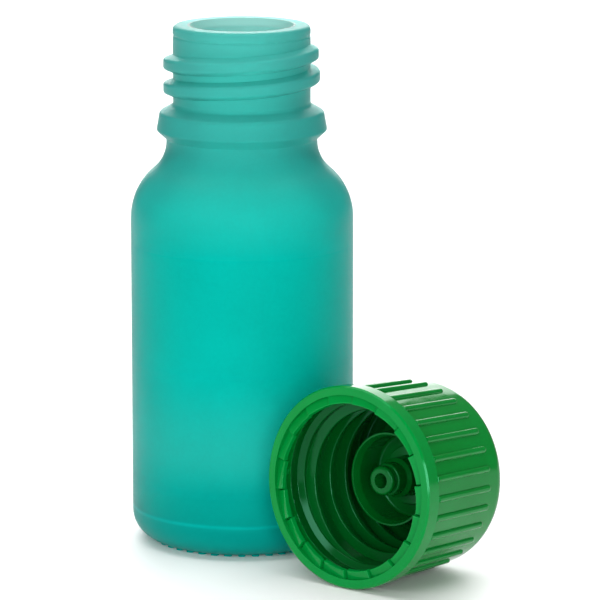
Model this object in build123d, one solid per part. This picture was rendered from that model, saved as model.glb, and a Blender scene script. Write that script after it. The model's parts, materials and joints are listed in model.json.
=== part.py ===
from build123d import *
import os
from math import atan, cos, degrees, pi, radians, sin

# Dropper bottle: a threaded glass bottle with its loose closure lying beside it.
# Millimetres. The bottle stands on z = 0 with its axis on Z. The closure pieces are drawn
# as they sit on the neck, with z = 0 on the lip, and are laid down on the table at the end.

os.makedirs("parts", exist_ok=True)

# ---- roundings that several edges share
hairline_edge = 0.05
crisp_edge = 0.1
soft_edge = 0.2
round_edge = 0.3
full_edge = 0.5

# ---- bottle body
bottle_height = 58.5
body_radius = 12.5
wall = 1.6
floor_thickness = 2.6
floor_corner = 2.2
heel_radius = 3.2
shoulder_start = 36.8
shoulder_turn = 50.0
shoulder_outer_arc = 7.2
shoulder_inner_arc = 4.1
inner_shoulder_bottom = 37.6
inner_shoulder_top = 43.6
inner_shoulder_round = 3.0
inner_neck_round = 2.0

# ---- bottle foot: a narrow bearing ring with short flat teeth around it, and a shallow push-up
foot_depth = 0.1
foot_ring_inner = 8.5
foot_ring_outer = 9.0
foot_tooth_count = 40
foot_tooth_width = 0.85
foot_tooth_end = 10.2
foot_tooth_round = 0.3
push_up_radius = 8.2
push_up_depth = 0.7
push_up_slope = 2.0
push_up_round = 1.5
push_up_edge = 0.6

# ---- bottle neck, measured down from the lip
neck_radius = 7.7
bore_radius = 5.2
mouth_radius = 5.85
mouth_depth = 0.8
mouth_round = 0.4
lip_round = 0.5
lip_band = 0.95
lip_groove = 0.12
lip_groove_width = 0.4
bead_top = 8.9
bead_edge_radius = 9.2
bead_edge_drop = 9.75
bead_radius = 9.56
bead_drop = 11.75
bead_foot_drop = 12.75

# ---- neck thread, right-hand
pitch = 2.7
thread_crest_radius = 8.77
thread_root_half = 1.08
thread_crest_half = 0.56
thread_crest_round = 0.4
thread_root_round = 0.01
thread_sink = 0.15
thread_turns = 1.55
thread_fade_turns = 0.16
thread_tip_scale = 0.12
thread_start_angle = 150.0
thread_bottom_drop = 7.25

# ---- dropper insert
flange_radius = 6.9
flange_thickness = 0.8
plug_radius = 5.25
plug_wall = 0.6
plug_length = 5.8
plug_lead = 0.9
plug_rim_radius = 5.17
plug_rim_width = 0.22
web_top = -0.9
web_thickness = 0.7
web_step_radius = 3.3
web_step = 0.5
boss_radius = 2.2
boss_end = -4.4
tube_radius = 1.8
tube_shoulder = -6.2
tube_bead_radius = 1.62
tube_bead_length = 0.75
tube_bead_round = 0.34
tube_groove_radius = 1.35
tube_end = -7.2
drip_bore = 0.85
spout_radius = 1.6
spout_top = 0.55
vent_radius = 0.28
vent_centre = 3.8

# ---- tamper ring
ring_radius = 11.1
ring_inner = 10.1
ring_face = -13.1
ring_width = 2.0
ring_edge = 0.18
tear_gap = 0.3
flap_count = 18
flap_gap_angle = 0.7
flap_root_radius = 10.35
flap_edge_radius = 9.13
flap_thickness = 0.5
flap_root_depth = 0.5
flap_rise_angle = 14.0
flap_twist_angle = 6.5
flap_edge = 0.1

# ---- tear bridges
bridge_count = 12
bridge_radius = 10.2
bridge_width = 0.55
bridge_depth = 0.5
bridge_slack = 0.02

# ---- screw cap
cap_skirt_radius = 10.45
cap_top_radius = 10.2
cap_edge_round = 1.5
cap_ceiling = 1.0
cap_top = 1.95
cap_inner_radius = 9.0
cap_mouth_radius = 9.7
cap_mouth_depth = 1.1
cap_mouth_slope = 0.4
cap_thread_radius = 7.98
cap_thread_root_half = 0.58
cap_thread_crest_half = 0.27
cap_thread_crest_round = 0.15
cap_thread_turns = 3.0
pin_radius = 0.8
pin_end = -0.9
pin_round = 0.25
seat_ring_inner = 6.0
seat_ring_outer = 6.5
seat_ring_depth = 0.12
rib_count = 30
rib_width = 0.78
rib_round = 0.33
rib_skirt_radius = 10.8
rib_top_radius = 10.55
rib_sink = 1.0
rib_end = -1.0

# ---- where the closure lies
closure_heading = 51.0
closure_clearance = 0.4
closure_face_x = 11.6

# ---- heights that several pieces share, from the lip
cap_bottom = ring_face + ring_width + tear_gap
cap_thread_bottom_drop = thread_bottom_drop + pitch / 2


def revolved(outline):
    """Full turn of a closed outline drawn with radius along X and height along Z."""
    return revolve(make_face(outline), Axis.Z)


def around(piece, count):
    """Copies of a piece at equal angles around Z."""
    return [spot * piece for spot in PolarLocations(0, count)]


def corner_line(corners):
    """Polyline of (radius, height, rounding) corners; the two ends stay sharp."""
    points = [(radius, 0, height) for radius, height, rounding in corners]
    roundings = [rounding for radius, height, rounding in corners[1:-1]]
    return FilletPolyline(*points, radius=roundings)


def shoulder_arcs():
    """Convex then concave arc from the body wall to the lower neck, and its end point."""
    turn = radians(shoulder_turn)
    start = Vector(body_radius, 0, shoulder_start)
    middle = start + Vector(-shoulder_outer_arc * (1 - cos(turn)), 0, shoulder_outer_arc * sin(turn))
    end = middle + Vector(-shoulder_inner_arc * (1 - cos(turn)), 0, shoulder_inner_arc * sin(turn))
    slope = Vector(-sin(turn), 0, cos(turn))
    outer = TangentArc(start, middle, tangent=(0, 0, 1))
    inner = TangentArc(middle, end, tangent=slope)
    return outer, inner, end


def bottle_outside():
    """Outer profile from the axis under the base up to the lip."""
    outer, inner, shoulder_end = shoulder_arcs()
    push_up_top = foot_depth + push_up_depth
    groove_middle = bottle_height - lip_band - lip_groove_width / 2
    low = corner_line([
        (0, push_up_top, 0),
        (push_up_radius - push_up_slope, push_up_top, push_up_round),
        (push_up_radius, foot_depth, push_up_edge),
        (body_radius, foot_depth, heel_radius),
        (body_radius, shoulder_start, 0)])
    high = corner_line([
        (shoulder_end.X, shoulder_end.Z, 0),
        (shoulder_end.X, bottle_height - bead_foot_drop, soft_edge),
        (bead_radius, bottle_height - bead_drop, round_edge),
        (bead_edge_radius, bottle_height - bead_edge_drop, full_edge),
        (neck_radius, bottle_height - bead_top, full_edge),
        (neck_radius, groove_middle - lip_groove_width / 2, crisp_edge),
        (neck_radius - lip_groove, groove_middle, crisp_edge),
        (neck_radius, groove_middle + lip_groove_width / 2, crisp_edge),
        (neck_radius, bottle_height, lip_round),
        (mouth_radius, bottle_height, 0)])
    return [low, outer, inner, high]


def bottle_inside():
    """Inner profile from the mouth down to the axis on the glass floor."""
    inner_radius = body_radius - wall
    return corner_line([
        (mouth_radius, bottle_height, 0),
        (bore_radius, bottle_height - mouth_depth, mouth_round),
        (bore_radius, inner_shoulder_top, inner_neck_round),
        (inner_radius, inner_shoulder_bottom, inner_shoulder_round),
        (inner_radius, floor_thickness, floor_corner),
        (0, floor_thickness, 0)])


def ridge_section(angle, height, root, crest, root_half, crest_half, rounding, scale):
    """Thread ridge outline standing on the root radius, turned to face along the helix."""
    mean = (root + crest) / 2
    lead = atan(pitch / (2 * pi * mean))
    along = Vector(-sin(angle) * cos(lead), cos(angle) * cos(lead), sin(lead))
    plane = Plane(
        origin=(mean * cos(angle), mean * sin(angle), height),
        x_dir=(cos(angle), sin(angle), 0),
        z_dir=along)
    tip = root + (crest - root) * scale
    outline = FilletPolyline(
        (root - mean, -root_half * scale),
        (tip - mean, -crest_half * scale),
        (tip - mean, crest_half * scale),
        (root - mean, root_half * scale),
        close=True,
        radius=[thread_root_round, rounding * scale, rounding * scale, thread_root_round])
    return plane * make_face(outline)


def thread_ridge(root, crest, root_half, crest_half, rounding, bottom, turns):
    """Right-hand ridge that fades in and out over a short stretch at each end."""

    def section(turn, scale):
        angle = radians(thread_start_angle + 360 * turn)
        height = bottom + pitch * turn
        return ridge_section(angle, height, root, crest, root_half, crest_half, rounding, scale)

    def stretch(from_turn, to_turn, from_scale, to_scale):
        helix = Helix(pitch, pitch * (to_turn - from_turn), (root + crest) / 2)
        spin = thread_start_angle + 360 * from_turn
        path = Location((0, 0, bottom + pitch * from_turn), (0, 0, spin)) * helix
        if from_scale == to_scale:
            return sweep(section(from_turn, from_scale), path=path, is_frenet=True)
        ends = [section(from_turn, from_scale), section(to_turn, to_scale)]
        return sweep(ends, path=path, is_frenet=True, multisection=True)

    body = stretch(0, turns, 1, 1)
    head = stretch(turns, turns + thread_fade_turns, 1, thread_tip_scale)
    tail = stretch(-thread_fade_turns, 0, thread_tip_scale, 1)
    return body + head + tail


def make_foot():
    """Bearing ring and its radial teeth, all flat at z = 0."""
    height = 2 * foot_depth
    ring = Pos(0, 0, foot_depth) * (Cylinder(foot_ring_outer, height) - Cylinder(foot_ring_inner, height))
    length = foot_tooth_end - foot_ring_inner
    tooth = Pos(foot_tooth_end - length / 2, 0, foot_depth) * Box(length, foot_tooth_width, height)
    outer_edges = tooth.edges().filter_by(Axis.Z).sort_by(Axis.X)[-2:]
    tooth = fillet(outer_edges, foot_tooth_round)
    return ring + around(tooth, foot_tooth_count)


def make_glass_bottle():
    axis_line = Line((0, 0, floor_thickness), (0, 0, foot_depth + push_up_depth))
    glass = revolved(bottle_outside() + [bottle_inside(), axis_line])
    ridge = thread_ridge(
        neck_radius - thread_sink, thread_crest_radius, thread_root_half, thread_crest_half,
        thread_crest_round, bottle_height - thread_bottom_drop, thread_turns)
    return glass + ridge + make_foot()


def make_dropper_insert():
    """Plug, web, flange and spout, with the stepped drip tube hanging from the web."""
    web_bottom = web_top - web_thickness
    web_step_end = web_bottom - web_step
    plug_inner = plug_radius - plug_wall
    groove_low = tube_end + tube_bead_length
    boss_taper = boss_radius - tube_radius
    outline = corner_line([
        (drip_bore, spout_top, 0),
        (spout_radius, spout_top, soft_edge),
        (spout_radius, web_top, soft_edge),
        (plug_inner, web_top, soft_edge),
        (plug_inner, flange_thickness, crisp_edge),
        (flange_radius, flange_thickness, soft_edge),
        (flange_radius, 0, soft_edge),
        (plug_radius, 0, crisp_edge),
        (plug_radius, -plug_length + plug_lead, full_edge),
        (plug_rim_radius, -plug_length, hairline_edge),
        (plug_rim_radius - plug_rim_width, -plug_length, hairline_edge),
        (plug_inner, -plug_length + plug_lead, full_edge),
        (plug_inner, web_bottom, round_edge),
        (web_step_radius, web_bottom, crisp_edge),
        (web_step_radius, web_step_end, crisp_edge),
        (boss_radius, web_step_end, crisp_edge),
        (boss_radius, boss_end, crisp_edge),
        (tube_radius, boss_end - boss_taper, crisp_edge),
        (tube_radius, tube_shoulder, soft_edge),
        (tube_groove_radius, tube_shoulder, hairline_edge),
        (tube_groove_radius, groove_low, hairline_edge),
        (tube_bead_radius, groove_low, soft_edge),
        (tube_bead_radius, tube_end, tube_bead_round),
        (drip_bore, tube_end, 0)])
    bore_line = Line((drip_bore, 0, tube_end), (drip_bore, 0, spout_top))
    body = revolved([outline, bore_line])
    vent = Pos(vent_centre, 0, web_top) * Cylinder(vent_radius, 4 * web_thickness)
    return body - vent


def make_flap():
    """One locking flap: a flat sector that rises from its sunken root and leans like a ratchet tooth."""
    span = 360 / flap_count - flap_gap_angle
    on_axis = (Align.NONE, Align.NONE, Align.MIN)
    wedge = Cylinder(flap_root_radius, flap_thickness, arc_size=span, align=on_axis)
    plate = Rot(0, 0, -span / 2) * (wedge - Cylinder(flap_edge_radius, 2 * flap_thickness))
    front = plate.faces().sort_by(Axis.Z)[0]
    plate = fillet(front.edges(), flap_edge)
    hinge = Pos(flap_root_radius, 0, 0)
    raised = hinge * Rot(flap_twist_angle, -flap_rise_angle, 0) * hinge.inverse() * plate
    return Pos(0, 0, ring_face + flap_root_depth) * raised


def make_tamper_ring():
    """Smooth band with its ring of locking flaps inside the face."""
    band = Pos(0, 0, ring_face + ring_width / 2) * (
        Cylinder(ring_radius, ring_width) - Cylinder(ring_inner, ring_width))
    band = chamfer(band.edges().filter_by(GeomType.CIRCLE).group_by(SortBy.RADIUS)[-1], ring_edge)
    return band + around(make_flap(), flap_count)


def make_tear_bridges():
    """Nibs that fill the gap between the ring and the cap."""
    height = tear_gap - bridge_slack
    level = ring_face + ring_width + height / 2
    nib = Pos(bridge_radius, 0, level) * Box(bridge_depth, bridge_width, height)
    return Compound(children=around(nib, bridge_count))


def make_rib():
    """Half-round grip rib with a round end towards the closed top, leaning in with the skirt."""
    length = rib_end - cap_bottom
    half = rib_width / 2
    lean = degrees(atan((rib_skirt_radius - rib_top_radius) / length))
    outline = [
        Line((0, -half), (length - half, -half)),
        ThreePointArc((length - half, -half), (length, 0), (length - half, half)),
        Line((length - half, half), (0, half)),
        Line((0, half), (0, -half))]
    bar = extrude(make_face(outline), rib_sink)
    crest = bar.faces().sort_by(Axis.Z)[-1]
    bar = fillet(crest.edges(), rib_round)
    upright = Plane(origin=(rib_skirt_radius - rib_sink, 0, cap_bottom), x_dir=(0, 0, 1), z_dir=(1, 0, 0))
    hinge = Pos(rib_skirt_radius, 0, cap_bottom)
    return hinge * Rot(0, -lean, 0) * hinge.inverse() * upright.location * bar


def make_screw_cap():
    """Ribbed shell with a widened mouth, an inner thread, a seat ring and the centre pin."""
    mouth_top = cap_bottom + cap_mouth_depth
    seat_level = cap_ceiling - seat_ring_depth
    outline = corner_line([
        (0, cap_top, 0),
        (cap_top_radius, cap_top, cap_edge_round),
        (cap_skirt_radius, cap_bottom, crisp_edge),
        (cap_mouth_radius, cap_bottom, crisp_edge),
        (cap_mouth_radius, mouth_top, crisp_edge),
        (cap_inner_radius, mouth_top + cap_mouth_slope, crisp_edge),
        (cap_inner_radius, cap_ceiling, full_edge),
        (seat_ring_outer, cap_ceiling, hairline_edge),
        (seat_ring_outer, seat_level, hairline_edge),
        (seat_ring_inner, seat_level, hairline_edge),
        (seat_ring_inner, cap_ceiling, hairline_edge),
        (pin_radius, cap_ceiling, round_edge),
        (pin_radius, pin_end, pin_round),
        (0, pin_end, 0)])
    axis_line = Line((0, 0, pin_end), (0, 0, cap_top))
    cap = revolved([outline, axis_line])
    ridge = thread_ridge(
        cap_inner_radius + thread_sink, cap_thread_radius, cap_thread_root_half, cap_thread_crest_half,
        cap_thread_crest_round, -cap_thread_bottom_drop, cap_thread_turns)
    return cap + ridge + around(make_rib(), rib_count)


def closure_place():
    """Lying pose: the ring's rear edge and two neighbouring ribs touch the table."""
    half_step = radians(180 / rib_count)
    rib_reach = rib_top_radius * cos(half_step) + (rib_width / 2 - rib_round) * sin(half_step)
    rib_span = (rib_end - ring_face) - ring_width
    tilt = atan((ring_radius - rib_reach) / rib_span)
    heading = radians(closure_heading)
    along = Vector(cos(tilt) * cos(heading), cos(tilt) * sin(heading), -sin(tilt))
    side = Vector(sin(heading), -cos(heading), 0)
    offset = body_radius + rib_skirt_radius + closure_clearance
    face_y = (closure_face_x * sin(heading) - offset) / cos(heading)
    face_z = ring_radius * cos(tilt) + (ring_width - ring_edge) * sin(tilt)
    lip_centre = Vector(closure_face_x, face_y, face_z) - along * ring_face
    return Location(Plane(origin=lip_centre, x_dir=side, z_dir=along))


place = closure_place()
pieces = {
    "glass_bottle": make_glass_bottle(),
    "dropper_insert": place * make_dropper_insert(),
    "tamper_ring": place * make_tamper_ring(),
    "tear_bridges": place * make_tear_bridges(),
    "screw_cap": place * make_screw_cap(),
}
for name, piece in pieces.items():
    export_step(piece, f"parts/{name}.step")
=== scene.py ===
import json
import math

import bpy
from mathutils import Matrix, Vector


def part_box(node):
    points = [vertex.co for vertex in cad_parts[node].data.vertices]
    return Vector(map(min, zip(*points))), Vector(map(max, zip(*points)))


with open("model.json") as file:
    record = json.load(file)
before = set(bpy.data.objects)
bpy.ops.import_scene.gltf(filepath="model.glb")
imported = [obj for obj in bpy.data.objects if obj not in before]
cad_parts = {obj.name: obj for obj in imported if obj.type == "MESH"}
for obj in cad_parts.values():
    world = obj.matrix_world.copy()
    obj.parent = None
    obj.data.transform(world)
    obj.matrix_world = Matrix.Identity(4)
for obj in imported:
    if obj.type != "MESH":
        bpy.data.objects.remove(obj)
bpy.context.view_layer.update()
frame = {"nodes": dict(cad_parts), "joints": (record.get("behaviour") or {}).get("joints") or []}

# Small dropper bottle in teal coated glass, with its green closure lying open beside it.
# Metres. The bottle stands at the origin on its own axis.

MM = 0.001
NODES = frame["nodes"]
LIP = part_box("glass_bottle")[1].z
CAP_TURN = next(joint for joint in frame["joints"] if joint["name"] == "cap_turn")

# ---- heights on the bottle, from its foot and from its lip
GLASS_FLOOR_MIDDLE = 1.8 * MM
THICK_GLASS_TOP = 3.9 * MM
# half-width of the painted glow line where the thick glass floor ends
PAINTED_GLOW_LINE_HALF = 0.35 * MM
# heights of the painted glow low on the body, where light shines through the glass
LOW_PAINTED_GLOW_START = THICK_GLASS_TOP + 3 * MM
LOW_PAINTED_GLOW_PEAK = 12.0 * MM
LOW_PAINTED_GLOW_END = LOW_PAINTED_GLOW_PEAK + 9 * MM
# where the painted glow up the neck begins
NECK_PAINTED_GLOW_START = 34.0 * MM
SHOULDER_LOW = 37.0 * MM
SHOULDER_HIGH = 44.0 * MM
MOUTH_LOW = LIP - 2.5 * MM
MOUTH_TONE_START = MOUTH_LOW - 3 * MM

# ---- halfway between the outer and the inner face of the glass, at the body, the neck and the lip
BODY_MIDDLE = 11.6 * MM
NECK_MIDDLE = 6.4 * MM
LIP_MIDDLE = 6.05 * MM

# ---- the cap's hollow: out to its widened mouth, and from the lip up to halfway through its top
HOLLOW_RADIUS = 9.75 * MM
HOLLOW_TOP = 1.5 * MM

# ---- glass colours
COAT_DEEP = (0.0, 0.68, 0.60, 1)
COAT_LIGHT = (0.0, 0.73, 0.65, 1)
# lighter teal for the grain, also used for the painted glow line
COAT_GRAIN_AND_PAINTED_GLOW = (0.0, 0.97, 0.90, 1)
# painted glow: paler teal where light shines through the coat
COAT_PAINTED_GLOW = (0.30, 0.92, 0.84, 1)
# painted shade towards the foot and on the thick glass
COAT_SHADE = (0.0, 0.40, 0.33, 1)
BARE_GLASS = (0.56, 0.82, 0.79, 1)
MOUTH_GLASS = (0.40, 0.56, 0.52, 1)
GLASS_BODY = (0.30, 0.70, 0.68, 1)
GLASS_GLEAM = (0.1, 0.5, 0.45, 1)

# ---- how much of each tone, painted glow and painted shade the coat takes on
GRAIN_SHARE = 0.12
# shares of painted glow up the neck and low on the body
NECK_PAINTED_GLOW_SHARE = 0.5
LOW_PAINTED_GLOW_SHARE = 0.1
# shares of painted shade at the foot and on the thick glass
FOOT_SHADE_SHARE = 0.25
THICK_SHADE_SHARE = 0.35
# share of the painted glow line
PAINTED_GLOW_LINE_SHARE = 0.5

# ---- glass optics
COAT_CLARITY = 0.72
THICK_CLARITY_LOSS = 0.1
BARE_CLARITY = 0.6
COAT_SMOOTHEST = 0.34
COAT_ROUGHEST = 0.43
COAT_GRAIN_STRENGTH = 0.08
COAT_GRAIN_HEIGHT = 0.02 * MM
GLASS_IOR = 1.2
GLASS_GLOSS = 0.3
GLASS_DENSITY = 600.0

# ---- plastic colours: the deeper and the lighter tone of each part's flow marks
CAP_GREENS = (0.0, 0.155, 0.016, 1), (0.0, 0.18, 0.022, 1)
RING_GREENS = (0.0, 0.18, 0.024, 1), (0.0, 0.205, 0.032, 1)
INSERT_GREENS = (0.0, 0.08, 0.007, 1), (0.0, 0.095, 0.01, 1)
# painted shade that darkens the cap's hollow
HOLLOW_PAINTED_SHADE = (0.0, 0.0, 0.0, 1)
HOLLOW_PAINTED_SHADE_SHARE = 0.58
PLASTIC_GLEAM = (0.3, 1.0, 0.7, 1)

# ---- plastic skin
CAP_ROUGHNESS = 0.09
RING_ROUGHNESS = 0.1
INSERT_ROUGHNESS = 0.16
ROUGHNESS_SPREAD = 0.05
SKIN_STRENGTH = 0.05
SKIN_HEIGHT = 0.01 * MM
INSERT_SKIN_HEIGHT = 0.015 * MM
PLASTIC_IOR = 1.5
PLASTIC_GLOSS = 0.3
GLOW_WEIGHT = 0.1
GLOW_SPREAD = (0.2, 1.0, 0.4)
GLOW_DEPTH = 0.5 * MM

# ---- grain sizes, in repeats over a metre, and the stretch of the noise that is used
CLOUD_SCALE = 90.0
COAT_GRAIN_SCALE = 2400.0
FLOW_SCALE = 110.0
FLOW_DETAIL = 3.0
SKIN_SCALE = 700.0
SOFT_STRETCH = (0.35, 0.65)
FINE_STRETCH = (0.3, 0.7)

# ---- surroundings
FLOOR_SIZE = 6.0
FLOOR_TONES = (0.94, 0.94, 0.94, 1), (0.91, 0.91, 0.91, 1)
FLOOR_MOTTLE_SCALE = 3.0
FLOOR_ROUGHNESS = 0.6
WORLD_STRENGTH = 0.24
LAMP_TARGET = Vector((0.005, -0.01, 0.025))
LAMPS = (
    # name, place, width, height, power in watts
    ("overhead", (0.0, 0.08, 0.6), 0.8, 0.6, 4.4),
    ("behind", (0.0, 0.65, 0.3), 0.5, 0.6, 2.8),
    ("front_left", (-0.42, -0.62, 0.34), 0.4, 0.4, 2.6),
    ("front", (0.12, -0.75, 0.16), 0.35, 0.3, 3.4),
)
CAMERA_PLACE = (6.5 * MM, -473 * MM, 122 * MM)
CAMERA_TILT_DOWN = 11.33
CAMERA_LENS = 256.7
CAMERA_CLIP_START = 0.01


# ---------------------------------------------------------------- node helpers

def new_material(name):
    material = bpy.data.materials.new(name)
    material.use_nodes = True
    return material, material.node_tree, material.node_tree.nodes["Principled BSDF"]


def feed(tree, socket, value):
    """A number or a colour is set on the socket; another node's output is linked to it."""
    if isinstance(value, (int, float, tuple)):
        socket.default_value = value
    else:
        tree.links.new(value, socket)


def math_node(tree, operation, first, second=0.0):
    node = tree.nodes.new("ShaderNodeMath")
    node.operation = operation
    feed(tree, node.inputs[0], first)
    feed(tree, node.inputs[1], second)
    return node.outputs[0]


def vector_node(tree, operation, first, second):
    node = tree.nodes.new("ShaderNodeVectorMath")
    node.operation = operation
    feed(tree, node.inputs[0], first)
    feed(tree, node.inputs[1], second)
    return node.outputs


def ramp(tree, value, low, high, out_low=0.0, out_high=1.0, smooth=False):
    node = tree.nodes.new("ShaderNodeMapRange")
    if smooth:
        node.interpolation_type = "SMOOTHSTEP"
    feed(tree, node.inputs["Value"], value)
    feed(tree, node.inputs["From Min"], low)
    feed(tree, node.inputs["From Max"], high)
    feed(tree, node.inputs["To Min"], out_low)
    feed(tree, node.inputs["To Max"], out_high)
    return node.outputs["Result"]


def noise(tree, position, scale, detail=2.0):
    node = tree.nodes.new("ShaderNodeTexNoise")
    feed(tree, node.inputs["Vector"], position)
    feed(tree, node.inputs["Scale"], scale)
    feed(tree, node.inputs["Detail"], detail)
    return node.outputs["Fac"]


def blend_colours(tree, share, first, second):
    node = tree.nodes.new("ShaderNodeMix")
    node.data_type = "RGBA"
    feed(tree, node.inputs[0], share)
    feed(tree, node.inputs[6], first)
    feed(tree, node.inputs[7], second)
    return node.outputs[2]


def bump(tree, height, strength, distance):
    node = tree.nodes.new("ShaderNodeBump")
    feed(tree, node.inputs["Strength"], strength)
    feed(tree, node.inputs["Distance"], distance)
    feed(tree, node.inputs["Height"], height)
    return node.outputs["Normal"]


def object_position(tree):
    return tree.nodes.new("ShaderNodeTexCoord").outputs["Object"]


# ---------------------------------------------------------------- places on the object

def radius_and_height(tree, position):
    """Distance from the bottle's axis, and height."""
    axes = tree.nodes.new("ShaderNodeSeparateXYZ")
    feed(tree, axes.inputs[0], position)
    across = math_node(tree, "POWER", axes.outputs[0], 2.0)
    along = math_node(tree, "POWER", axes.outputs[1], 2.0)
    return math_node(tree, "SQRT", math_node(tree, "ADD", across, along)), axes.outputs[2]


def inside_bottle(tree, radius, height):
    """1 on the glass's inner faces, 0 on its outer ones."""
    middle = ramp(tree, height, SHOULDER_LOW, SHOULDER_HIGH, BODY_MIDDLE, NECK_MIDDLE)
    middle_at_lip = ramp(tree, height, MOUTH_LOW, LIP, NECK_MIDDLE, LIP_MIDDLE)
    inward = math_node(tree, "LESS_THAN", radius, math_node(tree, "MINIMUM", middle, middle_at_lip))
    above_floor = math_node(tree, "GREATER_THAN", height, GLASS_FLOOR_MIDDLE)
    return math_node(tree, "MULTIPLY", inward, above_floor)


def in_cap_hollow(tree, position):
    """1 on the faces of the cap's hollow, 0 on its outside, measured from the axis that the cap turns on."""
    axis = tuple(CAP_TURN["axis"])
    from_lip = vector_node(tree, "SUBTRACT", position, tuple(CAP_TURN["pos_m"]))["Vector"]
    across = vector_node(tree, "CROSS_PRODUCT", from_lip, axis)["Vector"]
    radius = vector_node(tree, "LENGTH", across, axis)["Value"]
    along = vector_node(tree, "DOT_PRODUCT", from_lip, axis)["Value"]
    within = math_node(tree, "LESS_THAN", radius, HOLLOW_RADIUS)
    under_top = math_node(tree, "LESS_THAN", along, HOLLOW_TOP)
    return math_node(tree, "MULTIPLY", within, under_top)


# ---------------------------------------------------------------- finishes

def coat_colour(tree, position, height, grain, thick):
    """Clouded teal with a fine grain, with painted glow up the neck and low on the body, painted shade at the
    foot and on the thick glass, and a painted glow line where the thick glass ends.
    """
    cloud = ramp(tree, noise(tree, position, CLOUD_SCALE), *SOFT_STRETCH)
    coat = blend_colours(tree, cloud, COAT_DEEP, COAT_LIGHT)
    coat = blend_colours(tree, math_node(tree, "MULTIPLY", grain, GRAIN_SHARE), coat, COAT_GRAIN_AND_PAINTED_GLOW)

    # painted glow up the neck and low on the body, where light shines through the glass
    painted_neck_glow = ramp(tree, height, NECK_PAINTED_GLOW_START, LIP, 0.0, NECK_PAINTED_GLOW_SHARE)
    painted_low_glow = math_node(
        tree, "MULTIPLY",
        ramp(tree, height, LOW_PAINTED_GLOW_START, LOW_PAINTED_GLOW_PEAK, 0.0, LOW_PAINTED_GLOW_SHARE, smooth=True),
        ramp(tree, height, LOW_PAINTED_GLOW_PEAK, LOW_PAINTED_GLOW_END, 1.0, 0.0, smooth=True))
    coat = blend_colours(tree, math_node(tree, "MAXIMUM", painted_neck_glow, painted_low_glow), coat, COAT_PAINTED_GLOW)

    # painted shade towards the foot and on the thick glass
    foot_shade = ramp(tree, height, THICK_GLASS_TOP, LOW_PAINTED_GLOW_PEAK, FOOT_SHADE_SHARE, 0.0, smooth=True)
    coat = blend_colours(tree, foot_shade, coat, COAT_SHADE)
    coat = blend_colours(tree, math_node(tree, "MULTIPLY", thick, THICK_SHADE_SHARE), coat, COAT_SHADE)

    # painted glow line along the top of the thick glass floor
    from_line = math_node(tree, "ABSOLUTE", math_node(tree, "SUBTRACT", height, THICK_GLASS_TOP))
    painted_glow_line = ramp(tree, from_line, 0.0, PAINTED_GLOW_LINE_HALF, PAINTED_GLOW_LINE_SHARE, 0.0, smooth=True)
    return blend_colours(tree, painted_glow_line, coat, COAT_GRAIN_AND_PAINTED_GLOW)


def frosted_teal_glass():
    """Glass with a translucent teal coat outside, bare and paler inside; darker where it is thick, from
    painted shade as well as its absorption.
    """
    material, tree, shader = new_material("frosted_teal_glass")
    position = object_position(tree)
    radius, height = radius_and_height(tree, position)
    inside = inside_bottle(tree, radius, height)
    grain = ramp(tree, noise(tree, position, COAT_GRAIN_SCALE), *FINE_STRETCH)
    thick = math_node(tree, "LESS_THAN", height, THICK_GLASS_TOP)

    coat = coat_colour(tree, position, height, grain, thick)
    at_mouth = ramp(tree, height, MOUTH_TONE_START, LIP)
    bare = blend_colours(tree, at_mouth, BARE_GLASS, MOUTH_GLASS)
    feed(tree, shader.inputs["Base Color"], blend_colours(tree, inside, coat, bare))

    clarity_loss = math_node(tree, "MULTIPLY", thick, THICK_CLARITY_LOSS)
    coat_clarity = math_node(tree, "SUBTRACT", COAT_CLARITY, clarity_loss)
    clarity = ramp(tree, inside, 0, 1, coat_clarity, BARE_CLARITY)
    feed(tree, shader.inputs["Transmission Weight"], clarity)
    feed(tree, shader.inputs["Roughness"], ramp(tree, grain, 0, 1, COAT_SMOOTHEST, COAT_ROUGHEST))
    feed(tree, shader.inputs["Normal"], bump(tree, grain, COAT_GRAIN_STRENGTH, COAT_GRAIN_HEIGHT))
    shader.inputs["IOR"].default_value = GLASS_IOR
    shader.inputs["Specular IOR Level"].default_value = GLASS_GLOSS
    shader.inputs["Specular Tint"].default_value = GLASS_GLEAM

    absorb = tree.nodes.new("ShaderNodeVolumeAbsorption")
    absorb.inputs["Color"].default_value = GLASS_BODY
    absorb.inputs["Density"].default_value = GLASS_DENSITY
    tree.links.new(absorb.outputs[0], tree.nodes["Material Output"].inputs["Volume"])
    return material


def green_plastic(name, greens, roughness, skin_height, painted_hollow_shade=False):
    """Moulded green plastic with faint flow marks and a fine skin, and painted shade in the cap's hollow."""
    material, tree, shader = new_material(name)
    position = object_position(tree)
    flow = ramp(tree, noise(tree, position, FLOW_SCALE, FLOW_DETAIL), *SOFT_STRETCH)
    skin = ramp(tree, noise(tree, position, SKIN_SCALE), *FINE_STRETCH)
    colour = blend_colours(tree, flow, *greens)
    if painted_hollow_shade:
        # painted shade in the cap's hollow
        shade = math_node(tree, "MULTIPLY", in_cap_hollow(tree, position), HOLLOW_PAINTED_SHADE_SHARE)
        colour = blend_colours(tree, shade, colour, HOLLOW_PAINTED_SHADE)
    feed(tree, shader.inputs["Base Color"], colour)
    roughest = roughness + ROUGHNESS_SPREAD
    feed(tree, shader.inputs["Roughness"], ramp(tree, skin, 0, 1, roughness, roughest))
    feed(tree, shader.inputs["Normal"], bump(tree, skin, SKIN_STRENGTH, skin_height))
    shader.inputs["IOR"].default_value = PLASTIC_IOR
    shader.inputs["Specular IOR Level"].default_value = PLASTIC_GLOSS
    shader.inputs["Specular Tint"].default_value = PLASTIC_GLEAM
    shader.inputs["Subsurface Weight"].default_value = GLOW_WEIGHT
    shader.inputs["Subsurface Radius"].default_value = GLOW_SPREAD
    shader.inputs["Subsurface Scale"].default_value = GLOW_DEPTH
    return material


def give(node_name, material):
    piece = NODES[node_name]
    piece.data.materials.clear()
    piece.data.materials.append(material)


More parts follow.
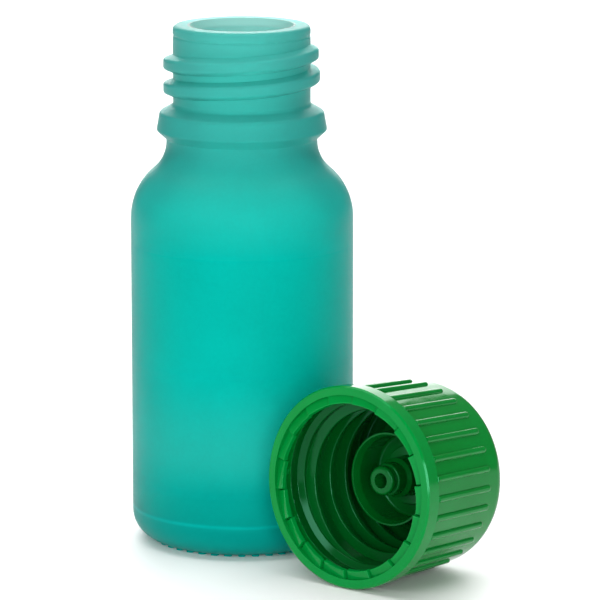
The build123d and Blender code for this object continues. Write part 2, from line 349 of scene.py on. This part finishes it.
def give_finishes():
    cap_plastic = green_plastic("green_cap_plastic", CAP_GREENS, CAP_ROUGHNESS, SKIN_HEIGHT, painted_hollow_shade=True)
    ring_plastic = green_plastic("green_ring_plastic", RING_GREENS, RING_ROUGHNESS, SKIN_HEIGHT)
    insert_plastic = green_plastic(
        "green_insert_plastic", INSERT_GREENS, INSERT_ROUGHNESS, INSERT_SKIN_HEIGHT)
    give("glass_bottle", frosted_teal_glass())
    give("screw_cap", cap_plastic)
    give("tamper_ring", ring_plastic)
    give("tear_bridges", ring_plastic)
    give("dropper_insert", insert_plastic)


# ---------------------------------------------------------------- surroundings

def make_floor():
    bpy.ops.mesh.primitive_plane_add(size=FLOOR_SIZE)
    floor = bpy.context.object
    floor.name = "floor"
    material, tree, shader = new_material("pale_floor")
    mottle = noise(tree, object_position(tree), FLOOR_MOTTLE_SCALE)
    feed(tree, shader.inputs["Base Color"], blend_colours(tree, mottle, *FLOOR_TONES))
    shader.inputs["Roughness"].default_value = FLOOR_ROUGHNESS
    floor.data.materials.append(material)


def make_world():
    world = bpy.data.worlds.new("studio")
    world.use_nodes = True
    background = world.node_tree.nodes["Background"]
    background.inputs["Color"].default_value = (1, 1, 1, 1)
    background.inputs["Strength"].default_value = WORLD_STRENGTH
    bpy.context.scene.world = world


def soft_light(name, place, width, height, power):
    """Large rectangular lamp that faces the object's middle."""
    data = bpy.data.lights.new(name, "AREA")
    data.shape = "RECTANGLE"
    data.size = width
    data.size_y = height
    data.energy = power
    lamp = bpy.data.objects.new(name, data)
    bpy.context.collection.objects.link(lamp)
    lamp.location = place
    aim = LAMP_TARGET - Vector(place)
    lamp.rotation_euler = aim.to_track_quat("-Z", "Y").to_euler()


def make_camera():
    """Long lens from the front, well above the lip, tilted down at the object's middle."""
    data = bpy.data.cameras.new("camera")
    data.lens = CAMERA_LENS
    data.clip_start = CAMERA_CLIP_START
    camera = bpy.data.objects.new("camera", data)
    bpy.context.collection.objects.link(camera)
    camera.location = CAMERA_PLACE
    camera.rotation_euler = (math.radians(90 - CAMERA_TILT_DOWN), 0, 0)
    bpy.context.scene.camera = camera


bpy.ops.object.select_all(action="DESELECT")
bpy.context.scene.view_settings.view_transform = "Standard"
give_finishes()
make_floor()
make_world()
for lamp_settings in LAMPS:
    soft_light(*lamp_settings)
make_camera()
